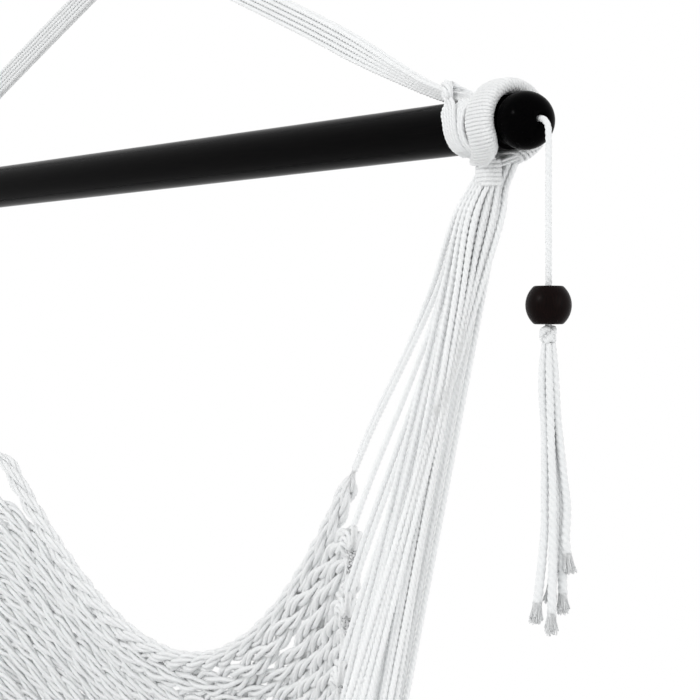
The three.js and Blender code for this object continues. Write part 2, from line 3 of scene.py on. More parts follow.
import bpy
import numpy as np
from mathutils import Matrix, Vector


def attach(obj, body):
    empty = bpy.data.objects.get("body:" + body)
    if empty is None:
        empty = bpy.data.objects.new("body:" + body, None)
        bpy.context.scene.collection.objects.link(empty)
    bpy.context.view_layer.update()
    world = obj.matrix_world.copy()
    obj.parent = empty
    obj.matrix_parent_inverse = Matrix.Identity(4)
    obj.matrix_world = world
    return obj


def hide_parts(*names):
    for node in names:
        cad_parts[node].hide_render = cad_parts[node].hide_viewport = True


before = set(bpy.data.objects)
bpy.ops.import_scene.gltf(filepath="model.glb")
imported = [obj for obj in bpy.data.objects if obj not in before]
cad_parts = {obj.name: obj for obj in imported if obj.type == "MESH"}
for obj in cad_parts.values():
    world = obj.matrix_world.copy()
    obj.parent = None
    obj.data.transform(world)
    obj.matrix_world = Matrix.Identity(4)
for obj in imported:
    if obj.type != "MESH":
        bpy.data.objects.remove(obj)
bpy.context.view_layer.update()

METRES = 0.001
ALONG_X = np.array([1.0, 0.0, 0.0])
ALONG_Y = np.array([0.0, 1.0, 0.0])
ACROSS_BAR = np.array([0.0, 1.0, 1.0])
ABOUT_X, ABOUT_Y, ABOUT_Z = 0, 1, 2
TURN = 2 * math.pi
SIDES = [(1, "_right"), (-1, "_left")]
TOUCH = 0.3

# Bar
BAR_Z = -265.0
BAR_RADIUS = 16.0
BAR_END = 508.0
BALL_RADIUS = 17.1
NECK_RADIUS = 14.3
NECK_WIDTH = 7.0
HOLE_RADIUS = 3.0
HOLE_DEPTH = 28.0
HOLE_ROUNDING = 1.4


# Camera: the photograph's, worked out from the bar's edges and the ball

CAMERA_PLACE = (1.8834, -0.9527, -0.4062)
CAMERA_AZIMUTH = math.radians(59.046)
CAMERA_RISE = math.radians(0.317)
FOCAL_PIXELS = 2933.6
FRAME_PIXELS = 700
SENSOR = 36.0


def add_object(name, data):
    added = bpy.data.objects.new(name, data)
    bpy.context.scene.collection.objects.link(added)
    return added


def add_camera():
    data = bpy.data.cameras.new("camera")
    data.sensor_width = SENSOR
    data.lens = FOCAL_PIXELS / FRAME_PIXELS * SENSOR
    data.clip_start = 0.05
    data.clip_end = 50
    camera = add_object("camera", data)
    level = math.cos(CAMERA_RISE)
    sight = Vector((
        -math.sin(CAMERA_AZIMUTH) * level,
        math.cos(CAMERA_AZIMUTH) * level,
        math.sin(CAMERA_RISE),
    ))
    camera.location = CAMERA_PLACE
    camera.rotation_euler = sight.to_track_quat("-Z", "Y").to_euler()
    bpy.context.scene.camera = camera


add_camera()


# Lines


def evenly(line, count):
    """The same line with count points, evenly spaced."""
    line = np.asarray(line, float)
    steps = np.linalg.norm(np.diff(line, axis=0), axis=1)
    along = np.concatenate([[0], np.cumsum(steps)])
    places = np.linspace(0, along[-1], count)
    return np.stack([np.interp(places, along, line[:, k]) for k in range(line.shape[1])], axis=1)


def smooth(points, spacing):
    """A centripetal spline through the points, with a point about every spacing."""
    points = np.asarray(points, float)
    ends = np.vstack([2 * points[0] - points[1], points, 2 * points[-1] - points[-2]])
    gaps = np.linalg.norm(np.diff(ends, axis=0), axis=1) ** 0.5
    share = np.linspace(0, 1, num=40, endpoint=False)[:, None]
    runs = []
    for i in range(1, len(ends) - 2):
        before, start, end, after = ends[i - 1:i + 3]
        g0, g1, g2 = gaps[i - 1:i + 2]
        leave = g1 * ((start - before) / g0 - (end - before) / (g0 + g1)) + end - start
        arrive = end - start - g1 * ((after - start) / (g1 + g2) - (after - end) / g2)
        cubic = 2 * (start - end) + leave + arrive
        square = 3 * (end - start) - 2 * leave - arrive
        runs.append(start + leave * share + square * share ** 2 + cubic * share ** 3)
    line = np.vstack(runs + [points[-1:]])
    length = np.linalg.norm(np.diff(line, axis=0), axis=1).sum()
    return evenly(line, max(int(round(length / spacing)) + 1, 3))


def unit(vectors):
    return vectors / np.linalg.norm(vectors, axis=-1, keepdims=True)


def lengths(lines):
    """How far along its line each point lies."""
    steps = np.linalg.norm(np.diff(lines, axis=-2), axis=-1)
    return np.concatenate([np.zeros(steps.shape[:-1] + (1,)), np.cumsum(steps, axis=-1)], axis=-1)


def rise(share):
    """A smooth step from 0 to 1."""
    share = np.clip(share, 0, 1)
    return share * share * (3 - 2 * share)


def between(low, high, share):
    """The value at a share of the way from low to high."""
    return low + (high - low) * share


def from_ends(along, reach):
    """0 at a line's two ends, and 1 further than the reach from both."""
    return rise(np.minimum(along, along[-1] - along) / reach)


# Surfaces

PLIES = 3
CORD_LAY = 11.0
CORD_GROOVE = 0.2
AXIS_RADIUS = 0.001
LAY_MAP = "lay"


def round_section(sides):
    angle = TURN * np.arange(sides) / sides
    return np.stack([np.cos(angle), np.sin(angle)], axis=1)


def ply_section(plies, ply_points, groove):
    """A twisted cord's section: a crest on each ply and a valley between two."""
    sides = plies * ply_points
    angle = math.pi / plies + TURN * np.arange(sides) / sides
    radius = 1 - groove * (1 - np.abs(np.cos(plies * angle / 2)))
    return np.stack([radius * np.cos(angle), radius * np.sin(angle)], axis=1)


def sweep(lines, section, width, depth, turn=0.0, reference=ALONG_Y):
    """Rings of a section along each of the lines, which all have the same number of points."""
    lines = np.asarray(lines, float)
    if lines.ndim == 2:
        lines = lines[None]
    tangent = unit(np.gradient(lines, axis=1))
    across = unit(np.cross(reference, tangent))
    up = np.cross(tangent, across)
    shape = lines.shape[:2]
    width = np.broadcast_to(width, shape)[..., None]
    depth = np.broadcast_to(depth, shape)[..., None]
    turn = np.broadcast_to(turn, shape)[..., None]
    a = (section[:, 0] * np.cos(turn) - section[:, 1] * np.sin(turn)) * width
    b = (section[:, 0] * np.sin(turn) + section[:, 1] * np.cos(turn)) * depth
    rings = lines[:, :, None] + a[..., None] * across[:, :, None] + b[..., None] * up[:, :, None]
    girth = float(np.mean(width)) * TURN
    return {"rings": rings, "along": lengths(lines), "round": girth, "caps": True}


def rope(lines, diameter, lay=CORD_LAY, ply_points=3, groove=CORD_GROOVE, reference=ALONG_Y, swell=1.0):
    """Twisted cords along the lines, laid left-handed as the photograph shows."""
    section = ply_section(PLIES, ply_points, groove)
    radius = diameter / 2 * swell
    turn = -TURN * lengths(lines) / lay
    return sweep(lines, section, radius, radius, turn, reference)


def turned(outline, segments, axis):
    """A body turned from pairs of radius and height about the X, Y or Z axis."""
    outline = np.asarray(outline, float)
    angle = TURN * np.arange(segments) / segments
    radius = np.maximum(outline[:, :1], AXIS_RADIUS)
    first = radius * np.cos(angle)
    second = radius * np.sin(angle)
    height = np.broadcast_to(outline[:, 1:], first.shape)
    rings = np.roll(np.stack([first, second, height], axis=-1), axis + 1, axis=-1)
    girth = float(radius.max()) * TURN
    return {"rings": rings[None], "along": lengths(outline[None]), "round": girth, "caps": False}


def moved(piece, place):
    return {**piece, "rings": piece["rings"] + np.asarray(place, float)}


def mirrored(piece):
    """The same piece at the other end of the bar, with its faces still outward."""
    rings = piece["rings"] * np.array([-1.0, 1.0, 1.0])
    return {**piece, "rings": rings[:, :, ::-1]}


def make(name, pieces, material, body, replaced=(), side=1):
    """One object from several sets of rings, which are modelled for the right side of the bar."""
    places, corners, counts, coordinates = [], [], [], []
    first = 0
    for piece in pieces:
        if side < 0:
            piece = mirrored(piece)
        rings = piece["rings"]
        runs, steps, sides = rings.shape[:3]
        grid = first + np.arange(runs * steps * sides).reshape(runs, steps, sides)
        here, beside = grid[:, :-1], np.roll(grid, -1, axis=2)[:, :-1]
        above, across = grid[:, 1:], np.roll(grid, -1, axis=2)[:, 1:]
        quads = np.stack([here, beside, across, above], axis=-1).reshape(-1, 4)
        places.append(rings.reshape(-1, 3))
        corners.append(quads.reshape(-1))
        counts.append(np.full(len(quads), 4))
        round_it = piece["round"] / sides * np.arange(sides + 1)
        u = np.broadcast_to(round_it, (runs, steps, sides + 1))
        v = np.broadcast_to(piece["along"][..., None], (runs, steps, sides + 1))
        flat = np.stack([u, v], axis=-1)
        around = np.stack([flat[:, :-1, :-1], flat[:, :-1, 1:], flat[:, 1:, 1:], flat[:, 1:, :-1]], axis=3)
        coordinates.append(around.reshape(-1, 2))
        if piece["caps"]:
            caps = np.concatenate([grid[:, 0, ::-1], grid[:, -1]])
            corners.append(caps.reshape(-1))
            counts.append(np.full(len(caps), sides))
            ends = np.concatenate([flat[:, 0, :-1][:, ::-1], flat[:, -1, :-1]])
            coordinates.append(ends.reshape(-1, 2))
        first += runs * steps * sides
    places = np.concatenate(places) * METRES
    corners = np.concatenate(corners)
    counts = np.concatenate(counts)
    mesh = bpy.data.meshes.new(name)
    mesh.vertices.add(len(places))
    mesh.vertices.foreach_set("co", places.astype(np.float32).ravel())
    mesh.loops.add(len(corners))
    mesh.loops.foreach_set("vertex_index", corners.astype(np.int32))
    mesh.polygons.add(len(counts))
    mesh.polygons.foreach_set("loop_start", (np.cumsum(counts) - counts).astype(np.int32))
    mesh.polygons.foreach_set("use_smooth", np.ones(len(counts), bool))
    mesh.update(calc_edges=True)
    layer = mesh.uv_layers.new(name=LAY_MAP)
    layer.data.foreach_set("uv", np.concatenate(coordinates).astype(np.float32).ravel())
    mesh.materials.append(material)
    made = add_object(name, mesh)
    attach(made, body)
    if replaced:
        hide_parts(*replaced)
    return made


# Materials

NOISE_ROUGHNESS = 0.55
# The Mix node's sockets for colours, whose names its other sockets share
MIX_FIRST, MIX_SECOND, MIX_RESULT = 6, 7, 2
CORD_SURFACE = {
    "Roughness": 0.78,
    "Specular IOR Level": 0.3,
    "Subsurface Weight": 0.4,
    "Subsurface Radius": (1, 1, 1),
    "Subsurface Scale": 0.0025,
    "Sheen Weight": 0.25,
    "Sheen Roughness": 0.5,
}
FIBRE_HEIGHT = 0.0003


def set_inputs(node, values):
    for socket, value in values.items():
        node.inputs[socket].default_value = value


def new_material(name):
    material = bpy.data.materials.new(name)
    material.use_nodes = True
    tree = material.node_tree
    tree.nodes.clear()
    output = tree.nodes.new("ShaderNodeOutputMaterial")
    shader = tree.nodes.new("ShaderNodeBsdfPrincipled")
    tree.links.new(shader.outputs["BSDF"], output.inputs["Surface"])
    return material, tree, shader


def lay_of(tree):
    """A piece's own coordinates: round it and along it."""
    lay = tree.nodes.new("ShaderNodeUVMap")
    lay.uv_map = LAY_MAP
    return lay.outputs["UV"]


def place_in(tree):
    return tree.nodes.new("ShaderNodeTexCoord").outputs["Object"]


def noise_at(tree, coordinates, stretch, scale, detail=3.0):
    mapping = tree.nodes.new("ShaderNodeMapping")
    mapping.inputs["Scale"].default_value = stretch
    tree.links.new(coordinates, mapping.inputs["Vector"])
    noise = tree.nodes.new("ShaderNodeTexNoise")
    set_inputs(noise, {"Scale": scale, "Detail": detail, "Roughness": NOISE_ROUGHNESS})
    tree.links.new(mapping.outputs["Vector"], noise.inputs["Vector"])
    return noise.outputs["Fac"]


def grey(value):
    return (value, value, value)


def ramp(tree, factor, low, high):
    """From one colour to another, each given with its place on the ramp."""
    node = tree.nodes.new("ShaderNodeValToRGB")
    for element, (place, colour) in zip(node.color_ramp.elements, (low, high)):
        element.position = place
        element.color = (*colour, 1)
    tree.links.new(factor, node.inputs["Fac"])
    return node.outputs["Color"]


def ramp_to(tree, shader, socket, factor, low, high):
    tree.links.new(ramp(tree, factor, low, high), shader.inputs[socket])


def bumped(tree, shader, height, strength, distance, under=None):
    bump = tree.nodes.new("ShaderNodeBump")
    set_inputs(bump, {"Strength": strength, "Distance": distance})
    tree.links.new(height, bump.inputs["Height"])
    if under is not None:
        tree.links.new(under, bump.inputs["Normal"])
    tree.links.new(bump.outputs["Normal"], shader.inputs["Normal"])
    return bump.outputs["Normal"]


def cord_material(name, light, shade, fibre_strength):
    """Soft spun cord: fine fibres along the plies, and a faint change of tone along its length."""
    material, tree, shader = new_material(name)
    lay = lay_of(tree)
    fibres = noise_at(tree, lay, (1.0, 0.09, 1.0), 5.5)
    tone = noise_at(tree, lay, (0.3, 0.04, 1.0), 0.9, 2.0)
    tint = ramp(tree, tone, (0.3, shade), (0.72, light))
    streak = ramp(tree, fibres, (0.25, grey(0.95)), (0.6, grey(1)))
    mix = tree.nodes.new("ShaderNodeMix")
    mix.data_type = "RGBA"
    mix.blend_type = "MULTIPLY"
    mix.inputs[0].default_value = 1
    tree.links.new(tint, mix.inputs[MIX_FIRST])
    tree.links.new(streak, mix.inputs[MIX_SECOND])
    tree.links.new(mix.outputs[MIX_RESULT], shader.inputs["Base Color"])
    set_inputs(shader, CORD_SURFACE)
    bumped(tree, shader, fibres, fibre_strength, FIBRE_HEIGHT)
    return material


def lacquer_material():
    """Black lacquer over turned wood: deep and glossy, with the grain just felt through it."""
    material, tree, shader = new_material("black_lacquer")
    place = place_in(tree)
    grain = noise_at(tree, place, (6, 160, 160), 6, 4)
    wave = noise_at(tree, place, (14, 50, 50), 2.5, 2)
    dark, light = (0.0006, 0.0006, 0.0008), (0.0016, 0.0014, 0.0014)
    ramp_to(tree, shader, "Base Color", grain, (0.35, dark), (0.7, light))
    ramp_to(tree, shader, "Roughness", wave, (0.3, grey(0.13)), (0.75, grey(0.22)))
    shader.inputs["Specular IOR Level"].default_value = 0.008
    low = bumped(tree, shader, wave, 0.16, 0.0008)
    bumped(tree, shader, grain, 0.05, 0.0003, low)
    return material


def bead_material():
    """Dark stained wood, waxed: reddish where the light catches it."""
    material, tree, shader = new_material("dark_stained_wood")
    place = place_in(tree)
    grain = noise_at(tree, place, (160, 160, 22), 7, 5)
    pores = noise_at(tree, place, (500, 500, 60), 5, 2)
    dark, light = (0.0016, 0.0007, 0.0007), (0.0065, 0.0022, 0.0019)
    ramp_to(tree, shader, "Base Color", grain, (0.3, dark), (0.72, light))
    ramp_to(tree, shader, "Roughness", pores, (0.3, grey(0.3)), (0.7, grey(0.42)))
    shader.inputs["Specular IOR Level"].default_value = 0.05
    low = bumped(tree, shader, grain, 0.12, 0.0004)
    bumped(tree, shader, pores, 0.1, 0.0002, low)
    return material


def steel_material():
    """Steel wire, brushed along its length."""
    material, tree, shader = new_material("brushed_steel")
    brushing = noise_at(tree, lay_of(tree), (3.0, 0.05, 1.0), 3.2, 3)
    ramp_to(tree, shader, "Base Color", brushing, (0.3, (0.42, 0.43, 0.44)), (0.7, (0.58, 0.59, 0.6)))
    ramp_to(tree, shader, "Roughness", brushing, (0.3, grey(0.24)), (0.75, grey(0.38)))
    shader.inputs["Metallic"].default_value = 1
    bumped(tree, shader, brushing, 0.15, 0.0001)
    return material


seat_white = cord_material("white_seat_cord", (0.925, 0.935, 0.94), (0.88, 0.895, 0.9), 0.5)
weave_white = cord_material("white_woven_cord", (0.92, 0.93, 0.935), (0.87, 0.885, 0.89), 0.6)
hanging_white = cord_material("white_suspension_cord", (0.905, 0.915, 0.92), (0.86, 0.875, 0.88), 0.5)
whipping_white = cord_material("white_whipping_cord", (0.915, 0.925, 0.93), (0.865, 0.88, 0.885), 0.5)
yarn_white = cord_material("white_tassel_yarn", (0.86, 0.872, 0.878), (0.81, 0.825, 0.83), 0.5)
lacquer = lacquer_material()
stained = bead_material()
steel = steel_material()


# Tassels: a cord out of the bar's end, a bead, a knot and five frayed strands

TASSEL_CORD = 4.0
TASSEL_LAY = 10.0
CORD_REACH = 6.0
CORD_BEND = 8.0
BEAD_DROP = 95.6
BEAD_HEIGHT = 21.8
BEAD_WIDTH = 26.4
BEAD_FLAT = 16.4
BEAD_BORE = 5.4
BEAD_LIP = 0.5
BEAD_EDGE = 0.4
BEAD_BARREL = 0.97
KNOT_HEIGHT = 11.0
KNOT_CORD = 4.2
KNOT_REACH = 2.3
KNOT_RISE = 3.4
TASSEL_X = BAR_END + CORD_REACH
BEAD_TOP = BAR_Z - BEAD_DROP
BEAD_MIDDLE = BEAD_TOP - BEAD_HEIGHT / 2
KNOT_TOP = BEAD_TOP - BEAD_HEIGHT - TOUCH
KNOT_MIDDLE = KNOT_TOP - KNOT_HEIGHT / 2

STRAND = 4.8
# Each strand's route from the knot: outward, backward and downward
STRAND_ROUTES = [
    [(2.6, 1.3, -1), (3.2, 2.6, 22), (3.1, 4.0, 41), (4.5, 7.2, 74), (5.3, 8.9, 92), (4.9, 8.2, 112),
     (6.1, 10.1, 127)],
    [(-0.6, 2.6, -1), (-0.3, 4.6, 24), (0.1, 6.4, 55), (1.2, 7.4, 85), (1.8, 7.8, 112), (2.3, 8.4, 150)],
    [(-2.3, 0.5, -1), (-2.7, 2.1, 26), (-1.2, 3.5, 55), (0.8, 4.4, 85), (0.5, 4.4, 112), (-1.5, 2.5, 144)],
    [(-1.1, -2.2, -1), (-1.4, -3.5, 22), (-1.3, -1.8, 50), (-1.3, -1.8, 85), (-0.8, -2.6, 109),
     (-3.6, -6.4, 155)],
    [(2.1, -1.2, -1), (2.7, -1.1, 24), (2.9, -0.3, 55), (3.4, 0.5, 85), (3.5, 0.4, 112), (3.1, -0.2, 161)],
]
SQUEEZE = 0.66
SQUEEZED_LENGTH = 12.0
LOOSENING = 1.2
LOOSENING_START = 60.0
LOOSENING_LENGTH = 50.0
FRAYED_CORE = 0.55
FRAYED_CORE_LENGTH = 8.0

FRAY_FIBRES = 110
FRAY_LENGTH = 9.0
FRAY_ROOT = 2.3
FRAY_SPLAY = 4.3
FRAY_REACH = 4.6
FRAY_CURVE = 1.4
FRAY_BACK = 12
FIBRE = 0.4


def tassel_cord_line():
    bend_x = TASSEL_X - CORD_BEND
    bend_z = BAR_Z - CORD_BEND
    points = [(BAR_END - HOLE_DEPTH / 2, 0, BAR_Z), (BAR_END - HOLE_DEPTH / 4, 0, BAR_Z)]
    for angle in np.linspace(math.pi / 2, 0, 5):
        points.append((bend_x + CORD_BEND * math.cos(angle), 0, bend_z + CORD_BEND * math.sin(angle)))
    points += [(TASSEL_X, 0, (BAR_Z + BEAD_TOP) / 2), (TASSEL_X, 0, BEAD_TOP), (TASSEL_X, 0, KNOT_MIDDLE)]
    return smooth(points, spacing=1.0)


def bead_outline():
    flat = BEAD_FLAT / 2
    half = BEAD_HEIGHT / 2
    bore = BEAD_BORE / 2
    bulge = BEAD_WIDTH / 2 - flat
    crown = (bulge ** 2 + half ** 2) / (2 * bulge)
    reach = math.asin(half / crown) * BEAD_BARREL
    centre = BEAD_WIDTH / 2 - crown
    angles = np.linspace(-reach, reach, num=40)
    barrel = [(centre + crown * math.cos(a), crown * math.sin(a)) for a in angles]
    low = [(bore, BEAD_LIP - half), (bore + BEAD_LIP, -half), (flat - BEAD_EDGE, -half)]
    high = [(radius, -height) for radius, height in low[::-1]]
    return low + barrel + high + low[:1]


def knot_line():
    """An overhand knot drawn tight: the cord crosses itself three times."""
    t = np.linspace(0, TURN, num=240)
    reach = KNOT_REACH * (1 + 0.5 * np.cos(3 * t))
    line = np.stack([
        TASSEL_X + reach * np.cos(2 * t),
        reach * np.sin(2 * t),
        KNOT_MIDDLE + KNOT_RISE * np.sin(3 * t),
    ], axis=1)
    return evenly(line, count=200)


def strand_lines():
    top = KNOT_TOP - KNOT_HEIGHT - TOUCH
    lines = []
    for route in STRAND_ROUTES:
        points = [(TASSEL_X + out, back, top - down) for out, back, down in route]
        lines.append(smooth(points, spacing=0.9))
    return lines


def strand_swell(along):
    """A strand is squeezed by the knot, loosens downward and thins out inside its frayed end."""
    to_end = along[-1] - along
    squeezed = between(SQUEEZE, 1, np.clip(along / SQUEEZED_LENGTH, 0, 1))
    loose = between(1, LOOSENING, rise((LOOSENING_START - to_end) / LOOSENING_LENGTH))
    thinned = between(FRAYED_CORE, 1, rise(to_end / FRAYED_CORE_LENGTH))
    return squeezed * loose * thinned


def frayed(line, seed):
    """Loose fibres where the strand ends: each leaves the strand a little above its end and splays."""
    rng = np.random.default_rng(seed)
    end = line[-1]
    down = unit(end - line[-FRAY_BACK])
    share = np.linspace(0, 1, num=7)[:, None]
    fibres = []
    for _ in range(FRAY_FIBRES):
        angle = rng.uniform(0, TURN)
        start = FRAY_ROOT * math.sqrt(rng.uniform(0, 1))
        spread = rng.uniform(0, FRAY_SPLAY - start)
        past_end = math.sqrt(FRAY_REACH ** 2 - (start + spread) ** 2) * rng.uniform(low=-0.4, high=1)
        sideways = np.array([math.cos(angle), math.sin(angle), 0])
        out = sideways * (start + spread * share ** FRAY_CURVE)
        fibres.append(end + out + down * ((FRAY_LENGTH + past_end) * share - FRAY_LENGTH))
    return np.array(fibres)


def tassel(side, suffix):
    body = "tassel" + suffix
    line = tassel_cord_line()
    cord = make(
        "tassel_cord_laid" + suffix, [rope(line, TASSEL_CORD, lay=TASSEL_LAY, ply_points=4)],
        yarn_white, body, ["tassel_cord" + suffix], side,
    )
    bead = make(
        "bead_turned" + suffix,
        [moved(turned(bead_outline(), segments=72, axis=ABOUT_Z), (side * TASSEL_X, 0, BEAD_MIDDLE))],
        stained, "bead" + suffix, ["bead" + suffix],
    )
    knot = make(
        "tassel_knot_tied" + suffix, [rope(knot_line(), KNOT_CORD, lay=TASSEL_LAY, ply_points=4)],
        yarn_white, body, ["tassel_knot" + suffix], side,
    )
    for i, strand in enumerate(strand_lines(), 1):
        along = lengths(strand)
        yarn = rope(
            strand, STRAND, lay=13.0, ply_points=4, groove=0.24, reference=ALONG_X,
            swell=strand_swell(along),
        )
        fibres = frayed(strand, 10 * i + (side > 0))
        end = sweep(fibres, round_section(sides=4), FIBRE, FIBRE, reference=ALONG_X)
        piece = make(
            f"tassel_strand_laid{suffix}_{i}", [yarn, end],
            yarn_white, body, [f"tassel_strand{suffix}_{i}"], side,
        )


for side, suffix in SIDES:
    tassel(side, suffix)


# Bar, with a ball turned on each end, and the ring

RING_RADIUS = 29
RING_WIRE_RADIUS = 4
RING_Z = -25


def bar_outline():
    """Pairs of radius and height, from the hole in one ball to the hole in the other."""
    ball_centre = BAR_END - BALL_RADIUS
    mouth_angle = math.acos((HOLE_RADIUS + HOLE_ROUNDING) / BALL_RADIUS)
    neck_angle = -math.acos(NECK_RADIUS / BALL_RADIUS)
    neck_start = ball_centre + BALL_RADIUS * math.sin(neck_angle)
    neck_end = neck_start - NECK_WIDTH
    mouth = ball_centre + BALL_RADIUS * math.sin(mouth_angle)
    shoulder = BAR_RADIUS - NECK_RADIUS
    end = [(0, BAR_END - HOLE_DEPTH), (HOLE_RADIUS, BAR_END - HOLE_DEPTH)]
    for angle in np.linspace(0, math.pi / 2, num=6):
        radius = HOLE_RADIUS + HOLE_ROUNDING * (1 - math.cos(angle))
        end.append((radius, mouth - HOLE_ROUNDING * (1 - math.sin(angle))))
    for angle in np.linspace(mouth_angle, neck_angle, num=40)[1:]:
        end.append((BALL_RADIUS * math.cos(angle), ball_centre + BALL_RADIUS * math.sin(angle)))
    for share in np.linspace(0, 1, num=8)[1:]:
        end.append((NECK_RADIUS, neck_start - share * (NECK_WIDTH - shoulder)))
    for share in np.linspace(0, 1, num=6)[1:]:
        radius = NECK_RADIUS + shoulder * math.sin(share * math.pi / 2)
        end.append((radius, neck_end + shoulder * (1 - share)))
    for height in np.linspace(neck_end, 0, num=30)[1:]:
        end.append((BAR_RADIUS, height))
    other = [(radius, -height) for radius, height in end[-2::-1]]
    return (end + other)[::-1]


def ring_outline():
    angles = np.linspace(0, TURN, num=33)
    return [(RING_RADIUS + RING_WIRE_RADIUS * math.cos(a), RING_WIRE_RADIUS * math.sin(a)) for a in angles]


make(
    "bar_turned", [moved(turned(bar_outline(), segments=96, axis=ABOUT_X), (0, 0, BAR_Z))],
    lacquer, "suspension", ["spreader_bar"],
)
make(
    "ring_bent", [moved(turned(ring_outline(), segments=96, axis=ABOUT_Y), (0, 0, RING_Z))],
    steel, "hanger", ["hanging_ring"],
)


# Eyes: the cords of a leg as a core, a whipping wound close round it, and a binding at the throat

EYE_X = 467.6
EYE_RADIUS = 21.35
EYE_TWIST = 0.16
EYE_SET = 4.0
EYE_SHIFT = 16.0
EYE_SHIFT_START = 13.0
EYE_THROAT_DROP = 25.0
EYE_THROAT_LENGTH = 14.0
EYE_TAPER = 12.0
EYE_CORD = 2.5
# Depth, width round the support and width at the throat
SEAT_CORE = (4.6, 19.0, 11.0)
TOP_CORE = (5.0, 9.0, 9.0)
CORE_CUT = 9
TOP_EYE_RADIUS = 17.2
TOP_EYE_Z = -61.7
TOP_THROAT_TOP = -84.0
TOP_THROAT_BOTTOM = -97.0
SEAT_THROAT_X = EYE_X - EYE_SHIFT
SEAT_THROAT_TOP = BAR_Z - EYE_THROAT_DROP
SEAT_THROAT_BOTTOM = SEAT_THROAT_TOP - EYE_THROAT_LENGTH

WHIPPING_CORD = 2.4
WHIPPING_LAY = 5.2
WHIPPING_COVER = 0.1 + WHIPPING_CORD / 2
WHIPPING_SECTION = ply_section(2, 5, 0.2)
WINDING_OVERLAP = 1.45
WIDEST_STEP = WHIPPING_CORD * 1.3
TURN_STEPS = 48
BINDING_POINTS = 60
BINDING_WAIST = 0.84
BINDING_ROUNDING = 0.05

TOP_EYE = dict(
    core=TOP_CORE, cords=4, turns=46, front_end=5.5, back_end=5.5,
    place=(0.0, 0.0), ends=(TOP_THROAT_TOP - 1.2, TOP_THROAT_BOTTOM + 1.2),
    binding=(6.8, 6.4), binding_turns=5,
)
SEAT_EYE = dict(
    core=SEAT_CORE, cords=7, turns=62, front_end=7.0, back_end=9.0,
    place=(SEAT_THROAT_X + 2.6, -1.0), ends=(SEAT_THROAT_TOP + 3.8, SEAT_THROAT_BOTTOM + 2.8),
    binding=(6.2, 7.4), binding_turns=6,
)


def eye_line(radius, centre_z, throat_y, throat_top, throat_bottom, x_at):
    """From the front leg's end up round the support and down to the back leg's end."""
    reach = math.hypot(throat_y, throat_top - centre_z)
    arc_end = math.pi - math.acos(radius / reach) - math.asin(throat_y / reach)
    angles = np.linspace(0, arc_end, 7)
    half = [(radius * math.sin(a), centre_z + radius * math.cos(a)) for a in angles]
    last_y, last_z = half[-1]
    half += [
        ((last_y + throat_y) / 2, (last_z + throat_top) / 2),
        (throat_y, throat_top),
        (throat_y, (throat_top + throat_bottom) / 2),
        (throat_y, throat_bottom),
    ]
    front = [(x_at(-y, z), -y, z) for y, z in half][::-1]
    back = [(x_at(y, z), y, z) for y, z in half[1:]]
    return smooth(front + back, spacing=0.5)


def level_frame(line):
    """Outward and sideways directions along an eye, its sections level along the bar."""
    tangent = np.gradient(line, axis=0)
    tangent[:, 0] = 0
    out = unit(np.cross(ALONG_X, unit(tangent)))
    return out, np.broadcast_to(ALONG_X, out.shape)


def eye_width(line, core):
    """The core's width along the eye: full over the support and drawn in at the throat."""
    along = lengths(line)
    to_end = np.minimum(along, along[-1] - along)
    return between(core[2], core[1], np.clip((to_end - EYE_THROAT_LENGTH) / EYE_TAPER, 0, 1))


def eye_core(line, core, count):
    """The cords of a leg, side by side in two layers, along the eye."""
    out, beside = level_frame(line)
    width = eye_width(line, core)
    lines = []
    for i in range(count):
        for layer in (-1, 1):
            shift = (i / (count - 1) - 0.5) * (width - EYE_CORD)
            lift = layer * (core[0] - EYE_CORD) / 2
            lines.append(line + beside * shift[:, None] + out * lift)
    swell = between(0.5, 1, width / core[1])
    return rope(np.array(lines), EYE_CORD, lay=8.0, reference=ALONG_X, swell=swell)


def powered(values, exponent):
    return np.sign(values) * np.abs(values) ** exponent


def strap_angles(half_depth, half_width, power):
    """The angles at which points lie evenly apart on a rounded strap's outline."""
    fine = np.linspace(0, TURN, num=4001)
    outline = np.stack([
        powered(np.cos(fine), 2 / power) * half_depth,
        powered(np.sin(fine), 2 / power) * half_width,
    ], axis=1)
    along = lengths(outline)
    return np.interp(np.arange(TURN_STEPS) / TURN_STEPS * along[-1], along, fine)


def winding(line, turns, half_depth, half_width, start, end, power):
    """One cord wound round part of a line, its turns side by side on a section like a rounded strap."""
    count = turns * TURN_STEPS + 1
    whole = np.arange(len(line))
    along = lengths(line * ACROSS_BAR)
    first, last = np.interp([start * whole[-1], end * whole[-1]], whole, along)
    places = np.interp(np.linspace(first, last, count), along, whole)

    def at(values):
        return np.stack([np.interp(places, whole, values[:, k]) for k in range(3)], axis=1)

    out, beside = level_frame(line)
    out = unit(at(out))
    beside = at(beside)
    wide = np.interp(places, whole, half_width)[:, None]
    angle = np.resize(strap_angles(half_depth, float(np.max(half_width)), power), count)
    cos, sin = np.cos(angle)[:, None], np.sin(angle)[:, None]
    wound = at(line) + out * powered(cos, 2 / power) * half_depth + beside * powered(sin, 2 / power) * wide
    facing = 2 - 2 / power
    outward = unit(out * powered(cos, facing) / half_depth + beside * powered(sin, facing) / wide)
    step = np.linalg.norm((np.roll(wound, -TURN_STEPS, axis=0) - wound) * ACROSS_BAR, axis=1)
    step[-TURN_STEPS:] = step[-TURN_STEPS - 1]
    step = np.minimum(step, WIDEST_STEP)
    turn = -TURN * lengths(wound) / WHIPPING_LAY
    width = step / 2 * WINDING_OVERLAP
    return sweep(wound, WHIPPING_SECTION, width, WHIPPING_CORD / 2, turn, outward)


def share_where(line, reached):
    """How far along a line something first holds."""
    return float(np.argmax(reached)) / (len(line) - 1)


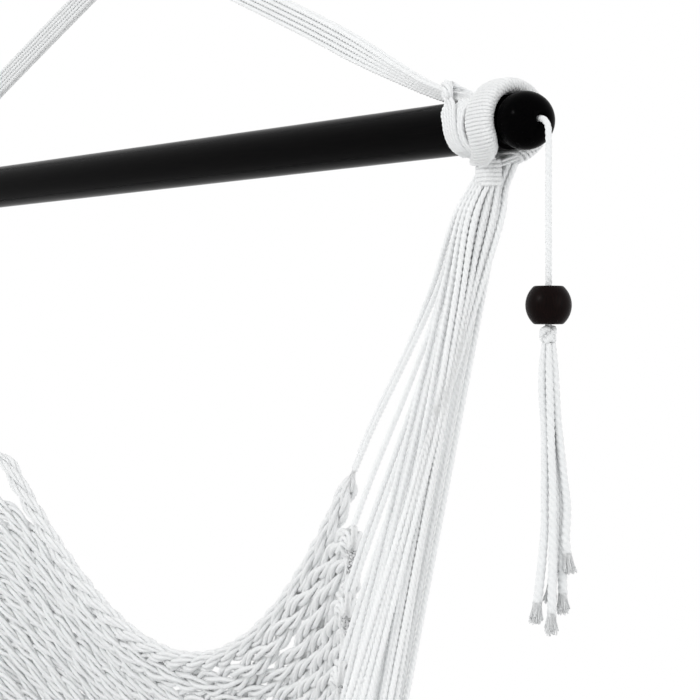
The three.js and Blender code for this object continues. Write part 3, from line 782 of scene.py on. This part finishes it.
def whole_eye(
    prefix, suffix, side, line, body, white, slot,
    core, cords, turns, front_end, back_end, place, ends, binding, binding_turns,
):
    """An eye's cords, the whipping round them and the binding of its throat, at a place with two ends."""
    half_depth = core[0] / 2 + WHIPPING_COVER
    half_width = eye_width(line, core) / 2 + WHIPPING_COVER
    make(
        f"{prefix}_cords{suffix}", [eye_core(line[CORE_CUT:-CORE_CUT], core, cords)],
        white, body, [f"{prefix}_core{suffix}"], side,
    )
    start = share_where(line, line[:, 1] < -front_end)
    end = 1 - share_where(line, line[::-1, 1] > back_end)
    make(
        f"{prefix}_whipping_wound{suffix}",
        [winding(line, turns, half_depth, half_width, start, end, power=3.0)],
        whipping_white, body, [f"{prefix}_whipping{suffix}"], side,
    )
    straight = np.linspace((*place, ends[0]), (*place, ends[1]), BINDING_POINTS)
    bulge = np.sin(np.linspace(BINDING_ROUNDING, math.pi - BINDING_ROUNDING, BINDING_POINTS))
    deep, wide = binding
    wide = wide * between(BINDING_WAIST, 1, np.sqrt(bulge))
    make(
        f"{prefix}_throat_wound{suffix}",
        [winding(straight, binding_turns, deep, wide, 0, 1, power=2.2)],
        whipping_white, body, [f"{prefix}_throat_binding{suffix}"], side,
    )


def seat_eye_x(y, z):
    """The seat eye stands askew round the bar, and its legs meet beside it at the throat."""
    drawn = float(rise((BAR_Z - z - EYE_SHIFT_START) / (EYE_THROAT_DROP - EYE_SHIFT_START)))
    return EYE_X + (EYE_SET - EYE_TWIST * y) * (1 - drawn) - EYE_SHIFT * drawn


def top_eye_x(y, z):
    return 0.0


top_eye_line = eye_line(
    TOP_EYE_RADIUS, TOP_EYE_Z, (TOP_CORE[0] + TOUCH) / 2, TOP_THROAT_TOP, TOP_THROAT_BOTTOM, top_eye_x,
)
seat_eye_line = eye_line(
    EYE_RADIUS, BAR_Z, (SEAT_CORE[0] + TOUCH) / 2, SEAT_THROAT_TOP, SEAT_THROAT_BOTTOM, seat_eye_x,
)
whole_eye("top_eye", "", 1, top_eye_line, "suspension", hanging_white, "suspension_cord", **TOP_EYE)
for side, suffix in SIDES:
    whole_eye("seat_eye", suffix, side, seat_eye_line, "seat", seat_white, "seat_cord", **SEAT_EYE)


# Suspension: ten parallel cords each side, turned round the bar under a crossing bight

BUNDLE_CORD = 3.5
BUNDLE_GROOVE = 0.3
BUNDLE_COLUMNS = 5
MIDDLE_COLUMN = (BUNDLE_COLUMNS - 1) / 2
BUNDLE_SPACING = 1.0
# The bundle's route: along the bar and up, or along the bar alone where it is straight
BUNDLE_START = (4.15, -97.3)
BUNDLE_BEND = (4.99, -100.24)
BUNDLE_STRAIGHT = (11.15, 70, 240.5)
BUNDLE_LANDING = [(-30, 0.4), (-15, 0)]
BUNDLE_SLOPE = 0.3435
BUNDLE_DROP = 7.0
START_WIDTH = 8.0
SPREAD_WIDTH = 17.0
SPREAD_LENGTH = 70.0
LANDED_WIDTH = 8.2
LANDED_LENGTH = 20.0
LANDING_LENGTH = 130.0
LAYER_LIFT = 0.25
BACK_CUT = 6

HITCH_X = BAR_END - 69.0
RING_X = HITCH_X + 7.0
RING_PITCH = 3.1
RING_ANGLES = np.radians([-38, -62, -90, -120, -150, -180, -210, -240, -270, -300, -330])
FRONT_CUT = 16
FRONT_KEPT = slice(None, -8, 24)

BIGHT_CORD = 2.9
BIGHT_PITCH = 2.7
BIGHT_X = HITCH_X + 2.5
BIGHT_SLANT = 32
BIGHT_GATHERED = 2.3
BIGHT_PERIOD = 48.0
BIGHT_RADIUS = BAR_RADIUS + TOUCH + 3.75
BIGHT_HEIGHT = BAR_RADIUS + 10.5
GATHERING = (0.3, 0.8)
# The bight's route: shares of its slant along the bar, of its radius and of its height
BIGHT_FRONT = [
    (0, -0.32, -0.66), (0, -0.7, -0.5), (0, -0.94, -0.2),
    (0.05, -0.97, 0.2), (0.3, -0.76, 0.62), (0.7, -0.36, 0.92),
]
BIGHT_BACK = [(0.84, 0.24, 0.86), (0.5, 0.62, 0.6), (0.16, 0.92, 0.3), (0, 1, 0.02)]


def bundle_centre():
    start_x, start_z = BUNDLE_START
    landed = BAR_Z + BAR_RADIUS + TOUCH + LANDED_WIDTH / 2
    points = [BUNDLE_START, BUNDLE_BEND]
    points += [(x, start_z - BUNDLE_DROP - BUNDLE_SLOPE * (x - 2 * start_x)) for x in BUNDLE_STRAIGHT]
    points += [(HITCH_X + x, landed + z) for x, z in BUNDLE_LANDING]
    return smooth([(x, 0, z) for x, z in points], BUNDLE_SPACING)


def bundle_lines():
    """The front layer's cords go on round the bar; the back layer's end under the bight."""
    centre = bundle_centre()
    tangent = unit(np.gradient(centre, axis=0))
    upward = unit(np.cross(tangent, ALONG_Y))
    upward *= np.sign(upward[:, 2:3])
    along = lengths(centre)
    to_end = along[-1] - along
    width = between(START_WIDTH, SPREAD_WIDTH, np.clip(along / SPREAD_LENGTH, 0, 1))
    width = between(width, LANDED_WIDTH, rise(1 - (to_end - LANDED_LENGTH) / LANDING_LENGTH))
    front, back = [], []
    for i in range(BUNDLE_COLUMNS):
        share = (i - MIDDLE_COLUMN) / (BUNDLE_COLUMNS - 1)
        for layer, lines in ((-1, front), (1, back)):
            lift = upward * (share * (width - BUNDLE_CORD) + LAYER_LIFT * layer)[:, None]
            lines.append(centre + lift + ALONG_Y * layer * BUNDLE_CORD / 2)
    return front, back


def round_bar(line, i):
    """A front cord goes on from the bundle, down the bar's front, under it and up its back."""
    x = RING_X + (i - MIDDLE_COLUMN) * RING_PITCH
    reach = BAR_RADIUS + TOUCH + BUNDLE_CORD / 2
    cut = line[:-FRONT_CUT]
    points = [tuple(point) for point in cut[FRONT_KEPT]]
    points.append(tuple(cut[-1]))
    for angle in RING_ANGLES:
        points.append((x, reach * math.sin(angle), BAR_Z + reach * math.cos(angle)))
    return smooth(points, BUNDLE_SPACING)


def bight_lines():
    """The crossing part: from the bar's back, gathered over the bundle and flat down its front."""
    route = BIGHT_FRONT + [(1, 0, 1)] + BIGHT_BACK
    points = [(BIGHT_X - x * BIGHT_SLANT, y * BIGHT_RADIUS, BAR_Z + z * BIGHT_HEIGHT) for x, y, z in route]
    centre = smooth(points, BUNDLE_SPACING)
    tangent = unit(np.gradient(centre, axis=0))
    out = unit(np.cross(ALONG_X, tangent))
    beside = np.cross(tangent, out)
    low, high = GATHERING
    gathered = rise(((centre[:, 2] - BAR_Z) / BIGHT_HEIGHT - low) / (high - low))[:, None]
    turn = TURN * lengths(centre) / BIGHT_PERIOD
    lines = []
    for i in range(BUNDLE_COLUMNS):
        angle = turn + TURN * i / BUNDLE_COLUMNS
        bunched = beside * np.cos(angle)[:, None] + out * np.sin(angle)[:, None]
        flat = beside * (i - MIDDLE_COLUMN) * BIGHT_PITCH
        lines.append(centre + bunched * BIGHT_GATHERED * gathered + flat * (1 - gathered))
    return np.array(lines)


def suspension(side, suffix):
    front, back = bundle_lines()
    pieces = [rope(round_bar(line, i), BUNDLE_CORD, groove=BUNDLE_GROOVE) for i, line in enumerate(front)]
    pieces.append(rope(np.array(back)[:, :-BACK_CUT], BUNDLE_CORD, groove=BUNDLE_GROOVE))
    pieces.append(rope(bight_lines(), BIGHT_CORD, lay=8.0, groove=BUNDLE_GROOVE))
    make(
        "suspension_laid" + suffix, pieces,
        hanging_white, "suspension", ["suspension" + suffix], side,
    )


for side, suffix in SIDES:
    suspension(side, suffix)


# Seat surface: u runs from -1 on the left side to 1 on the right, v from the back's top to the front lip

# The side's points: outward, backward and down from the bar
SIDE_POINTS = [
    (283.5, 12, 203), (292, 4, 245), (299, -4, 290), (319, -35, 487),
    (322, -55, 690), (318, -72, 775), (312, -108, 768), (307, -135, 700),
]
# The middle's points: backward and down from the bar
MIDDLE_POINTS = [
    (36, 357), (66, 430), (103, 560), (109, 700), (82, 830),
    (20, 915), (-68, 925), (-150, 870), (-196, 790),
]
EDGE_POINTS = 900
NORMAL_STEP = 2e-3
EDGE_STEP = 0.01
FIRST_TIP = 42.0
FAN_ROWS = 4
FAN_COLUMNS = 4
TIPS = FAN_ROWS * FAN_COLUMNS


def edge_line(points):
    return evenly(smooth([(x, y, BAR_Z - drop) for x, y, drop in points], 1.0), EDGE_POINTS)


side_line = edge_line(SIDE_POINTS)
middle_line = edge_line([(0, y, drop) for y, drop in MIDDLE_POINTS])
line_shares = np.linspace(0, 1, EDGE_POINTS)


def on_line(line, v):
    """A line's point at share v, going straight on past its ends."""
    inside = np.clip(v, 0, 1)
    found = np.stack([np.interp(inside, line_shares, line[:, k]) for k in range(3)], axis=-1)
    before = (line[1] - line[0]) * (len(line) - 1)
    after = (line[-1] - line[-2]) * (len(line) - 1)
    return found + np.minimum(v, 0)[..., None] * before + np.maximum(v - 1, 0)[..., None] * after


def seat_point(u, v):
    edge, middle = on_line(side_line, v), on_line(middle_line, v)
    place = between(middle, edge, (u * u)[..., None])
    place[..., 0] = u * edge[..., 0]
    return place


def seat_normal(u, v):
    across = seat_point(u + NORMAL_STEP, v) - seat_point(u - NORMAL_STEP, v)
    down = seat_point(u, v + NORMAL_STEP) - seat_point(u, v - NORMAL_STEP)
    return unit(np.cross(across, down))


side_length = float(lengths(side_line)[-1])
growth = (side_length - FIRST_TIP * (TIPS - 1)) / ((TIPS - 1) * (TIPS - 2) / 2)
tip_shares = np.array([(FIRST_TIP * i + growth * i * (i - 1) / 2) / side_length for i in range(TIPS)])


# Woven seat: bands of thick soft ropes, each band gathered at its ends to the tip of a doubled cord

WOVEN_CORD = 4.1
SOFT_GROOVE = 0.26
BAND_STEP = 1.7
ROPES = 3
ROPE_PARTS = 3
PART_CORDS = 3
ROPE_PERIOD = 120.0
PART_PERIOD = 70.0
# Across the seat and through it
PART_REACH = (4.9, 2.7)
CORD_IN_PART = (2.3, 1.9)
WANDER = 0.12
WANDER_LENGTH = 13
SWAY = 1.6
PROUD = 1.2
CAP_LENGTH = 15.0
CAP_TURN = math.radians(82)
CAP_THINNED = 0.4
CLIMB_LENGTH = 45.0
BAND_LOW = -0.95
BAND_FOOT = 0.14
BAND_FOOT_CLIMB = 0.8
LAST_FOOT = 0.02
SHINGLE = 6.0
ROPE_FILL = 14.5

TUFT_CORD = 3.7
TUFT_REACHES = (3.2, 6.2, 9.2, 12.0)
TUFT_HEART = (12.5, 3.0)
TUFT_RAISED = 6.0
TUFT_LIFT = 0.8
TUFT_SINK = 0.72
TUFT_ANGLES = np.linspace(math.radians(-125), math.radians(115), 40)[:, None]


def band_places(half):
    """Distances from the middle along a band, close together where its ends turn into the tips."""
    count = int(2 * half / BAND_STEP)
    q = np.linspace(-1, 1, count + count % 2 + 1)
    body = half - CAP_LENGTH
    turning = CAP_LENGTH * math.pi / 2
    cap_share = turning / (body + turning)
    inside = np.clip(np.abs(q) / (1 - cap_share), 0, 1)
    psi = np.clip((np.abs(q) - (1 - cap_share)) / cap_share, 0, 1) * CAP_TURN
    return np.sign(q) * (body * inside + CAP_LENGTH * np.sin(psi)), np.cos(psi)


def rope_parts(a, rng):
    """Where the cords of one rope lie round its middle, as pairs across the seat and through it."""
    start, inner = rng.uniform(0, TURN, 2)
    places = []
    for part in range(ROPE_PARTS):
        angle = -TURN * a / ROPE_PERIOD + TURN * part / ROPE_PARTS + start
        for cord in range(PART_CORDS):
            wander = rng.uniform(0, TURN)
            turn = TURN * a / PART_PERIOD + TURN * cord / PART_CORDS + inner
            loose = 1 + WANDER * np.sin(a / WANDER_LENGTH + wander)
            across = PART_REACH[0] * np.sin(angle) + CORD_IN_PART[0] * loose * np.sin(turn)
            through = PART_REACH[1] * np.cos(angle) + CORD_IN_PART[1] * loose * np.cos(turn)
            places.append((across, through))
    return places


def band_lines(k, rng):
    """The cords of the band that hangs from tip k, from its left tip to its right one."""
    here, spacing = tip_shares[k], tip_shares[k] - tip_shares[k - 1]
    fine = np.linspace(-1, 1, num=1201)
    along = lengths(seat_point(fine, np.full_like(fine, here)))
    half = along[-1] / 2
    a, drawn = band_places(half)
    u = np.interp(a + half, along, fine)
    upper = seat_point(u, np.full_like(u, here - spacing))
    height = np.linalg.norm(seat_point(u, np.full_like(u, here)) - upper, axis=1)
    near_end = np.exp((np.abs(a) - half) / CLIMB_LENGTH)
    foot = BAND_FOOT + BAND_FOOT_CLIMB * near_end if k < TIPS - 1 else np.full_like(a, LAST_FOOT)
    low = BAND_LOW * (1 - near_end)
    lines = []
    for rope_number in range(ROPES):
        share = (rope_number + 0.5) / ROPES
        swing = TURN * a / (2 * ROPE_PERIOD) + rng.uniform(0, TURN)
        middle = low + (foot - low) * share
        wide = height * (foot - low) / ROPES / ROPE_FILL
        for across, through in rope_parts(a, rng):
            s = (middle + (across * wide + SWAY * np.sin(swing)) / height) * drawn
            h = through * between(CAP_THINNED, 1, drawn) + PROUD * np.cos(swing)
            h = h + SHINGLE * (share - 0.5) * drawn
            v = here + s * spacing
            lines.append(seat_point(u, v) + seat_normal(u, v) * h[:, None])
    return np.array(lines)


def tuft_cap(k):
    """The cords of a band's right end, which turn over its tip in arcs one inside the other."""
    u, v = np.array([1.0]), np.array([tip_shares[k]])
    tip, normal = seat_point(u, v)[0], seat_normal(u, v)[0]
    down = unit(seat_point(u, v + EDGE_STEP)[0] - tip)
    inward = unit(seat_point(u - 2 * EDGE_STEP, v)[0] - tip)
    heart = tip + down * TUFT_HEART[0] + inward * TUFT_HEART[1]
    lines = []
    for reach in TUFT_REACHES:
        arc = heart - down * (reach * np.cos(TUFT_ANGLES)) - inward * (reach * np.sin(TUFT_ANGLES))
        crest = TUFT_RAISED * math.sqrt(max(1 - (reach / TUFT_REACHES[-1]) ** 2, 0)) + TUFT_LIFT
        sunk = crest * np.cos(TUFT_ANGLES * TUFT_SINK)
        lines += [arc + normal * sunk, arc - normal * sunk]
    return rope(np.array(lines), TUFT_CORD, lay=10.0, groove=SOFT_GROOVE, reference=normal)


def woven_band(k):
    rng = np.random.default_rng(seed=100 + k)
    lines = band_lines(k, rng)
    lay = CORD_LAY * rng.uniform(low=0.92, high=1.08)
    cap = tuft_cap(k)
    band = make(
        f"seat_band_{k}",
        [rope(lines, WOVEN_CORD, lay=lay, ply_points=2, groove=SOFT_GROOVE), cap, mirrored(cap)],
        weave_white, "seat", ["woven_seat"] if k == 1 else [],
    )


for k in range(1, TIPS):
    woven_band(k)


# Edge ropes: three thick parts along the back's top and the front lip, drawn in at the tips

EDGE_PARTS = 3
EDGE_PART_CORDS = 4
EDGE_INSET = 4.0
EDGE_SPACING = 1.3
EDGE_DRAWN_LENGTH = 24.0
EDGE_END_REACH = 0.15
EDGE_END_SWELL = 0.3
EDGE_FLATTENED = 0.8
EDGE_FOLD = 2.5


def edge_rope(name, replaced, v, part_reach, cord_reach, cord, period, raised):
    inset = EDGE_INSET / float(on_line(side_line, np.array([v]))[0, 0])
    u = np.linspace(-1 + inset, 1 - inset, EDGE_POINTS)
    here = seat_point(u, np.full_like(u, v))
    away = unit(here - seat_point(u, np.full_like(u, abs(v - EDGE_STEP))))
    across = unit(np.gradient(here, axis=0))
    away = unit(away - across * (away * across).sum(1, keepdims=True))
    drawn = from_ends(lengths(here), EDGE_DRAWN_LENGTH)
    fold = EDGE_FOLD * u ** 2 * drawn
    centre = here + away * (raised * drawn)[:, None] + seat_normal(u, np.full_like(u, v)) * fold[:, None]
    centre = evenly(centre, int(lengths(centre)[-1] / EDGE_SPACING))
    along = lengths(centre)
    drawn = between(EDGE_END_REACH, 1, from_ends(along, EDGE_DRAWN_LENGTH))
    tangent = unit(np.gradient(centre, axis=0))
    first = unit(np.cross(ALONG_Y, tangent))
    second = np.cross(tangent, first)
    lines = []
    for part in range(EDGE_PARTS):
        angle = -TURN * along / period + TURN * part / EDGE_PARTS
        for strand in range(EDGE_PART_CORDS):
            turn = TURN * along / PART_PERIOD + TURN * strand / EDGE_PART_CORDS
            out = (part_reach * np.cos(angle) + cord_reach * np.cos(turn)) * drawn
            over = (part_reach * np.sin(angle) + cord_reach * np.sin(turn)) * drawn * EDGE_FLATTENED
            lines.append(centre + first * out[:, None] + second * over[:, None])
    swell = between(EDGE_END_SWELL, 1, drawn)
    laid = rope(np.array(lines), cord, ply_points=2, groove=SOFT_GROOVE, swell=swell)
    make(name, [laid], weave_white, "seat", [replaced])


edge_rope(
    "seat_back_edge_laid", "back_edge_rope", v=0.0,
    part_reach=4.0, cord_reach=2.2, cord=3.8, period=84.0, raised=3.0,
)
edge_rope(
    "seat_front_edge_laid", "front_edge_rope", v=1.0,
    part_reach=3.0, cord_reach=1.7, cord=3.2, period=60.0, raised=4.5,
)


# Fans: two cords to each tuft, from the throat to the side of the seat

CORD = 3.8
FAN_PITCH = 4.7
FAN_NECK = 12.0
FAN_SHIFT = 6.5
FAN_FORWARD = 3.5
NECK_ANGLE = -math.pi / 4
THROAT_PITCH = np.array([3.4, 2.6, 0.0])
THROAT_START = np.array([2.0, 0.3, 9.0])
THROAT_SWELL = 0.86
OUTER_ROUTE = [(5.5, 13.2, 21.0), (3.0, 10.6, 12.5), (0.6, 7.8, 2.6)]
OUTER_PITCH = 2.9
OUTER_SWELL = 0.95
OUTER_SHIFT = np.array([3.5, 2.5, 0.0])
OUTER_GRADE = 1.5
BOW = np.array([1.5, 2.4, -1.1])
BOWED_TIPS = 5
HELD_LENGTH = 55
HELD_INWARD = 0.1
HELD_BOW = 0.7
LAST_SHARE = 0.85
PAST_TIP = 5.0
PINCHED_LENGTH = 20
PINCH = 0.75
FREE_START = 20
FREE_LENGTH = 80
FIRST_LEANS = (-0.1, 0.23)
SWING = 0.4
SWING_LENGTH = 160.0


def throat_route(place, neck_top):
    """Through the binding, or for the back row from the whipping's end down outside it."""
    throat = np.array([SEAT_THROAT_X, 0, neck_top])
    if place[1] < (FAN_ROWS - 1) / 2:
        return [throat + THROAT_START + place * THROAT_PITCH]
    return [throat + point + ALONG_X * place[0] * OUTER_PITCH for point in OUTER_ROUTE]


def fan_lines():
    """Two cords from the throat to each tip: packed in the neck, then apart one after the other."""
    rng = np.random.default_rng(seed=7)
    neck_top = SEAT_THROAT_BOTTOM - TOUCH
    neck_middle = np.array([SEAT_THROAT_X - FAN_SHIFT, -FAN_FORWARD, neck_top - FAN_NECK])
    heart = seat_point(np.array([1.0]), np.array([0.5]))[0]
    first, second = [], []
    for i, share in enumerate(tip_shares):
        column, row = i // FAN_ROWS, i % FAN_ROWS
        place = np.array([column - (FAN_COLUMNS - 1) / 2, row - (FAN_ROWS - 1) / 2, 0])
        start = neck_middle + place * FAN_PITCH + OUTER_SHIFT * (row / (FAN_ROWS - 1)) ** OUTER_GRADE
        tip = seat_point(np.array([1.0]), np.array([share]))[0]
        way = unit(tip - start)
        inward = unit(heart - neck_middle) - way
        bow = BOW * max(1 - i / BOWED_TIPS, 0)
        reach = float(np.linalg.norm(tip - start))
        route = throat_route(place, neck_top) + [
            start,
            start + (way + inward * HELD_INWARD) * HELD_LENGTH + bow * HELD_BOW,
            start + way * reach / 2 + bow,
            start + way * reach * LAST_SHARE,
            tip + way * PAST_TIP,
        ]
        centre = smooth(route, spacing=1.15)
        tangent = unit(np.gradient(centre, axis=0))
        across = unit(np.cross(ALONG_Y, tangent))
        over = np.cross(tangent, across)
        past = np.maximum(neck_top - centre[:, 2], 0)
        along = lengths(centre)
        to_end = along[-1] - along
        least = OUTER_SWELL if row == FAN_ROWS - 1 else THROAT_SWELL
        swell = between(least, 1, rise(past / FAN_NECK))
        apart = CORD / 2 * swell * between(PINCH, 1, rise(to_end / PINCHED_LENGTH))
        lean = FIRST_LEANS[i] if i < len(FIRST_LEANS) else rng.uniform(low=-1.3, high=-0.2)
        lean = lean + SWING * np.sin(past / SWING_LENGTH + i)
        angle = between(NECK_ANGLE, lean, rise((past - FREE_START) / FREE_LENGTH))
        shift = across * (apart * np.cos(angle))[:, None] + over * (apart * np.sin(angle))[:, None]
        first.append((centre + shift, swell))
        second.append((centre - shift, swell))
    return first, second


def fan(side, suffix):
    first, second = [
        [rope(line, CORD, lay=12.0, ply_points=4, groove=0.36, swell=swell) for line, swell in half]
        for half in fan_lines()
    ]
    make("fan_cords_laid" + suffix, first, seat_white, "seat", ["fan_cords" + suffix], side)
    make("fan_cords_doubled" + suffix, second, seat_white, "seat", side=side)


for side, suffix in SIDES:
    fan(side, suffix)


# Floor, light and background, in metres

FLOOR_Z = -1.62
FLOOR_HALF = 1.9


def add_floor():
    corners = [(-1, -1), (1, -1), (1, 1), (-1, 1)]
    mesh = bpy.data.meshes.new("floor")
    mesh.from_pydata([(x * FLOOR_HALF, y * FLOOR_HALF, FLOOR_Z) for x, y in corners], [], [(0, 1, 2, 3)])
    material, _, shader = new_material("pale_floor")
    set_inputs(shader, {"Base Color": (*grey(0.86), 1), "Roughness": 0.9})
    mesh.materials.append(material)
    add_object("floor", mesh)


def add_lamp(name, place, target, size, power):
    data = bpy.data.lights.new(name, "AREA")
    data.shape = "SQUARE"
    data.size = size
    data.energy = power
    lamp = add_object(name, data)
    lamp.location = place
    lamp.rotation_euler = (Vector(target) - Vector(place)).to_track_quat("-Z", "Y").to_euler()


def plain_light(tree, strength):
    light = tree.nodes.new("ShaderNodeBackground")
    set_inputs(light, {"Color": (*grey(1), 1), "Strength": strength})
    return light.outputs[0]


def add_world():
    """Even light on the object, and a white backdrop that the camera, metal and glass see."""
    world = bpy.data.worlds.new("studio")
    bpy.context.scene.world = world
    world.use_nodes = True
    tree = world.node_tree
    tree.nodes.clear()
    output = tree.nodes.new("ShaderNodeOutputWorld")
    light = plain_light(tree, strength=0.91)
    backdrop = plain_light(tree, strength=1)
    path = tree.nodes.new("ShaderNodeLightPath")
    seen = path.outputs["Is Camera Ray"]
    for ray in ("Is Glossy Ray", "Is Transmission Ray"):
        either = tree.nodes.new("ShaderNodeMath")
        either.operation = "MAXIMUM"
        tree.links.new(seen, either.inputs[0])
        tree.links.new(path.outputs[ray], either.inputs[1])
        seen = either.outputs[0]
    mix = tree.nodes.new("ShaderNodeMixShader")
    tree.links.new(seen, mix.inputs[0])
    tree.links.new(light, mix.inputs[1])
    tree.links.new(backdrop, mix.inputs[2])
    tree.links.new(mix.outputs[0], output.inputs["Surface"])


add_floor()
add_lamp("key", place=(0.6, -2.4, 0.9), target=(0.3, 0, -0.6), size=0.3, power=15)
add_lamp("fill", place=(2.6, 0.9, 0.2), target=(0.4, 0, -0.6), size=1.6, power=8)
add_world()
bpy.context.scene.view_settings.view_transform = "Standard"
